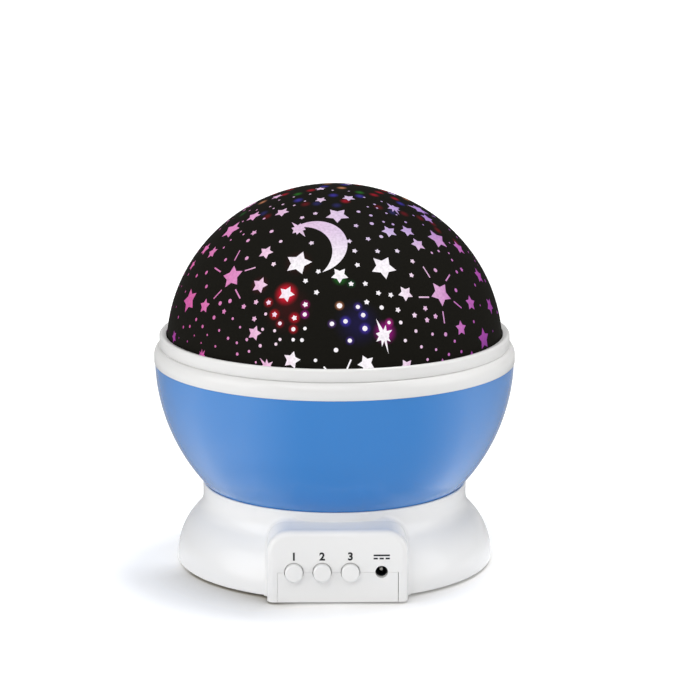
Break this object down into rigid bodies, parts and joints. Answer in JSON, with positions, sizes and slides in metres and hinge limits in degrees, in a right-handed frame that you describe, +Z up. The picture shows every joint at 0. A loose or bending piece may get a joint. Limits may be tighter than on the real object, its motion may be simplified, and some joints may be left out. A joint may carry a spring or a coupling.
{
  "type": "star night light projector",
  "caption": "Star night light projector: a pierced moon-and-star dome lifts off a bowl that turns on a flared base with push buttons, a power socket and a battery bay.",
  "frame": {"origin": "on the ground plane under the turning axis, level with the underside of the feet", "axes": "+Z up along the turning axis, -Y out of the control panel, +X to the right seen from the front"},
  "size_m": [0.125, 0.125, 0.132],
  "materials": {
    "white_plastic": "satin",
    "bowl_blue": "gloss",
    "mask_black": "matte",
    "frosted": "matte",
    "inner_white": "matte",
    "nylon": "satin",
    "rubber": "matte",
    "steel": "satin",
    "contact_metal": "satin",
    "board_green": "satin",
    "black_plastic": "matte",
    "plunger_grey": "satin",
    "led_white": "gloss",
    "led_red": "gloss",
    "led_green": "gloss",
    "led_blue": "gloss"
  },
  "bodies": {
    "base": {"base_housing": "white_plastic", "deck_plate": "white_plastic", "deck_screws": "steel", "base_cover": "white_plastic", "panel_face": "white_plastic", "panel_insert": "white_plastic", "battery_box": "white_plastic", "rubber_feet": "rubber", "base_screws": "steel", "positive_contacts": "contact_metal", "negative_contacts": "contact_metal", "control_board": "board_green", "switch_bodies": "black_plastic", "power_socket": "black_plastic", "socket_pin": "contact_metal", "gear_motor": "steel", "motor_screws": "steel", "glide_pads": "nylon", "hub_retainer": "inner_white", "post_screws": "steel", "lamp_post": "inner_white", "led_board": "inner_white", "board_screws": "steel", "led_white": "led_white", "led_red": "led_red", "led_green": "led_green", "led_blue": "led_blue"},
    "head": {"bowl": "bowl_blue", "bowl_gear": "nylon", "gear_screws": "steel", "belt_ring": "white_plastic", "reflector_tray": "inner_white"},
    "pinion": {"drive_pinion": "nylon", "motor_shaft": "steel"},
    "button_a": {"button_a": "white_plastic", "switch_plunger_a": "plunger_grey"},
    "button_b": {"button_b": "white_plastic", "switch_plunger_b": "plunger_grey"},
    "button_c": {"button_c": "white_plastic", "switch_plunger_c": "plunger_grey"},
    "door": {"battery_door": "white_plastic"},
    "cover": {"dome_collar": "white_plastic", "dome_diffuser": "frosted", "star_mask": "mask_black"}
  },
  "joints": [
    {"name": "head_spin", "type": "hinge", "parent": "base", "child": "head", "pos_m": [0, 0, 0.0245], "axis": [0, 0, 1], "continuous": true},
    {"name": "pinion_spin", "type": "hinge", "parent": "base", "child": "pinion", "pos_m": [0, -0.0182, 0.0215], "axis": [0, 0, 1], "continuous": true},
    {"name": "button_a_press", "type": "slide", "parent": "base", "child": "button_a", "axis": [0, 1, 0], "range_m": [0, 0.0008], "stiffness_N_per_m": 500, "springref_m": -0.001},
    {"name": "button_b_press", "type": "slide", "parent": "base", "child": "button_b", "axis": [0, 1, 0], "range_m": [0, 0.0008], "stiffness_N_per_m": 500, "springref_m": -0.001},
    {"name": "button_c_press", "type": "slide", "parent": "base", "child": "button_c", "axis": [0, 1, 0], "range_m": [0, 0.0008], "stiffness_N_per_m": 500, "springref_m": -0.001},
    {"name": "door_hinge", "type": "hinge", "parent": "base", "child": "door", "pos_m": [0, 0.0378, 0.0016], "axis": [1, 0, 0], "range_deg": [0, 90]},
    {"name": "cover_lift", "type": "slide", "parent": "head", "child": "cover", "axis": [0, 0, 1], "range_m": [0, 0.07]}
  ],
  "couplings": [
    {"joint": "pinion_spin", "follows": "head_spin", "ratio": -3}
  ]
}
